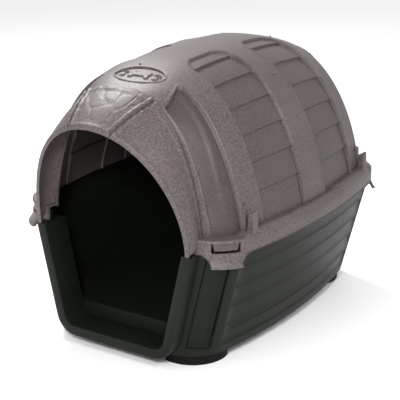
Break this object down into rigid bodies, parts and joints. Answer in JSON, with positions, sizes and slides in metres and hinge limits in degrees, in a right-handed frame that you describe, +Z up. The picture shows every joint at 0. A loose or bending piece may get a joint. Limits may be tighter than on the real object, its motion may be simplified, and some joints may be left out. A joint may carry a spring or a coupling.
{
  "type": "dog kennel",
  "caption": "Moulded pet kennel: tapered tub base with framed doorway and raised floor under a lift-off domed roof shell with shingle panels, ribs, hood and sprung corner latches.",
  "frame": {"origin": "on the floor, at the middle of the bounding box in plan", "axes": "+Z up, -Y out of the doorway, +Y towards the rear wall, +X to the right of someone who looks in at the doorway"},
  "size_m": [0.465, 0.6086, 0.472],
  "materials": {
    "tub_plastic": "very dark green polypropylene, moulded with a soft satin texture",
    "roof_plastic": "taupe granite-look polypropylene, fine speckle and grained mould texture",
    "latch_plastic": "taupe polypropylene, satin",
    "foot_plastic": "black soft-grip plastic, satin"
  },
  "bodies": {
    "base": {"base_tub": "tub_plastic", "foot_front_right": "foot_plastic", "foot_front_left": "foot_plastic", "foot_rear_right": "foot_plastic", "foot_rear_left": "foot_plastic"},
    "roof": {"roof_shell": "roof_plastic"},
    "tongue_front_right": {"latch_tongue_front_right": "latch_plastic"},
    "tongue_front_left": {"latch_tongue_front_left": "latch_plastic"},
    "tongue_rear_right": {"latch_tongue_rear_right": "latch_plastic"},
    "tongue_rear_left": {"latch_tongue_rear_left": "latch_plastic"}
  },
  "joints": [
    {"name": "roof_lift", "type": "slide", "parent": "base", "child": "roof", "axis": [0, 0, 1], "range_m": [0, 0.15]},
    {"name": "tongue_front_right_press", "type": "hinge", "parent": "roof", "child": "tongue_front_right", "pos_m": [0.18895, -0.21159, 0.2233], "axis": [0.7193, 0.6947, 0], "range_deg": [0, 8], "stiffness_Nm_per_rad": 0.45},
    {"name": "tongue_front_left_press", "type": "hinge", "parent": "roof", "child": "tongue_front_left", "pos_m": [-0.18895, -0.21159, 0.2233], "axis": [0.7193, -0.6947, 0], "range_deg": [0, 8], "stiffness_Nm_per_rad": 0.45},
    {"name": "tongue_rear_right_press", "type": "hinge", "parent": "roof", "child": "tongue_rear_right", "pos_m": [0.18895, 0.28009, 0.2233], "axis": [-0.7193, 0.6947, 0], "range_deg": [0, 8], "stiffness_Nm_per_rad": 0.45},
    {"name": "tongue_rear_left_press", "type": "hinge", "parent": "roof", "child": "tongue_rear_left", "pos_m": [-0.18895, 0.28009, 0.2233], "axis": [-0.7193, -0.6947, 0], "range_deg": [0, 8], "stiffness_Nm_per_rad": 0.45}
  ]
}
